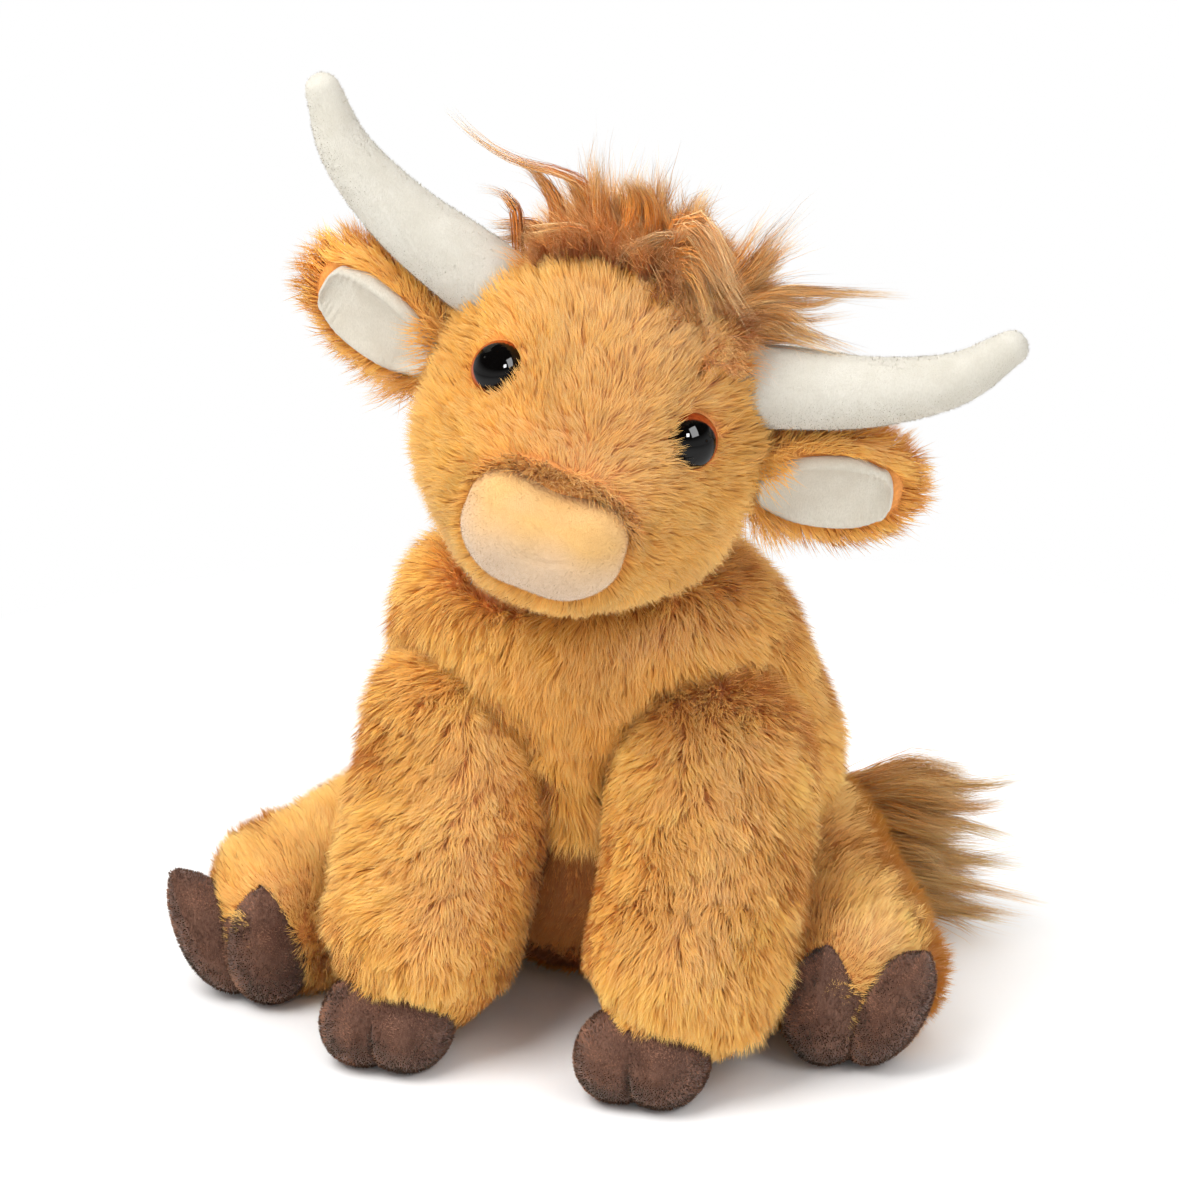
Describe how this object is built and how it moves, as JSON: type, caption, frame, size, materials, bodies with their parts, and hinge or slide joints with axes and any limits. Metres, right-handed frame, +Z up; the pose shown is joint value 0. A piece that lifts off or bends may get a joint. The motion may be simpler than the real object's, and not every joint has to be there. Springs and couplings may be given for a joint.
{
  "type": "plush highland cow",
  "caption": "Stuffed toy highland cow that sits with splayed legs, its head turned and tilted, with curved horns, side ears, a long forelock and a tufted tail.",
  "frame": {"origin": "on the floor, on the flat of the seat under the middle of the torso", "axes": "+Z up; the toy faces -Y; the toy's own left side is +X"},
  "size_m": [0.2845, 0.2161, 0.3301],
  "materials": {
    "plush": "golden caramel long-pile plush",
    "long_hair": "dark caramel long hair with pale tips",
    "hoof": "dark brown velour with a short nap",
    "cream": "off-white velour with a short nap",
    "peach": "peach short-pile velour",
    "eye": "glossy black with an amber brown rim",
    "washer": "plain moulded",
    "stuffing": "loose white fibre fill",
    "pouch": "plain woven bag of beads"
  },
  "bodies": {
    "torso": {"torso": "plush", "torso_stuffing": "stuffing", "seat_pouch": "pouch"},
    "neck": {"neck": "plush"},
    "head": {"head": "plush", "head_stuffing": "stuffing", "nose_pad": "peach", "forelock": "long_hair", "eye_left": "eye", "eye_washer_left": "washer", "horn_left": "cream", "horn_stuffing_left": "stuffing", "eye_right": "eye", "eye_washer_right": "washer", "horn_right": "cream", "horn_stuffing_right": "stuffing"},
    "tail": {"tail_core": "plush", "tail_tuft": "long_hair"},
    "ear_left": {"ear_left": "plush", "ear_lining_left": "cream"},
    "front_leg_left": {"front_leg_left": "plush", "front_leg_stuffing_left": "stuffing", "front_hoof_left": "hoof"},
    "hind_leg_left": {"hind_leg_left": "plush", "hind_leg_stuffing_left": "stuffing", "hind_hoof_left": "hoof"},
    "ear_right": {"ear_right": "plush", "ear_lining_right": "cream"},
    "front_leg_right": {"front_leg_right": "plush", "front_leg_stuffing_right": "stuffing", "front_hoof_right": "hoof"},
    "hind_leg_right": {"hind_leg_right": "plush", "hind_leg_stuffing_right": "stuffing", "hind_hoof_right": "hoof"}
  },
  "joints": [
    {"name": "head_turn", "type": "hinge", "parent": "torso", "child": "neck", "pos_m": [-0.002, -0.046, 0.175], "axis": [0, 0, 1], "range_deg": [-40, 24]},
    {"name": "head_tilt", "type": "hinge", "parent": "neck", "child": "head", "pos_m": [-0.002, -0.046, 0.175], "axis": [-0.1392, 0.9903, 0], "range_deg": [-40, 8]},
    {"name": "ear_left_flap", "type": "hinge", "parent": "head", "child": "ear_left", "pos_m": [0.0653, -0.06341, 0.20079], "axis": [0.3142, 0.0442, 0.9483], "range_deg": [-25, 25], "stiffness_Nm_per_rad": 0.004},
    {"name": "ear_right_flap", "type": "hinge", "parent": "head", "child": "ear_right", "pos_m": [-0.03655, -0.07773, 0.23521], "axis": [0.3142, 0.0442, 0.9483], "range_deg": [-25, 25], "stiffness_Nm_per_rad": 0.004},
    {"name": "front_leg_left_lift", "type": "hinge", "parent": "torso", "child": "front_leg_left", "pos_m": [0.046, -0.052, 0.098], "axis": [1, 0, 0], "range_deg": [-35, 0]},
    {"name": "front_leg_right_lift", "type": "hinge", "parent": "torso", "child": "front_leg_right", "pos_m": [-0.036, -0.052, 0.098], "axis": [1, 0, 0], "range_deg": [-35, 0]},
    {"name": "hind_leg_left_splay", "type": "hinge", "parent": "torso", "child": "hind_leg_left", "pos_m": [0.055, 0.005, 0.037], "axis": [0, 0, 1], "range_deg": [0, 45]},
    {"name": "hind_leg_right_splay", "type": "hinge", "parent": "torso", "child": "hind_leg_right", "pos_m": [-0.055, 0.005, 0.037], "axis": [0, 0, 1], "range_deg": [-45, 0]},
    {"name": "tail_swing", "type": "hinge", "parent": "torso", "child": "tail", "pos_m": [0.004, 0.06213, 0.033], "axis": [0, 0, 1], "range_deg": [-3, 150]}
  ]
}
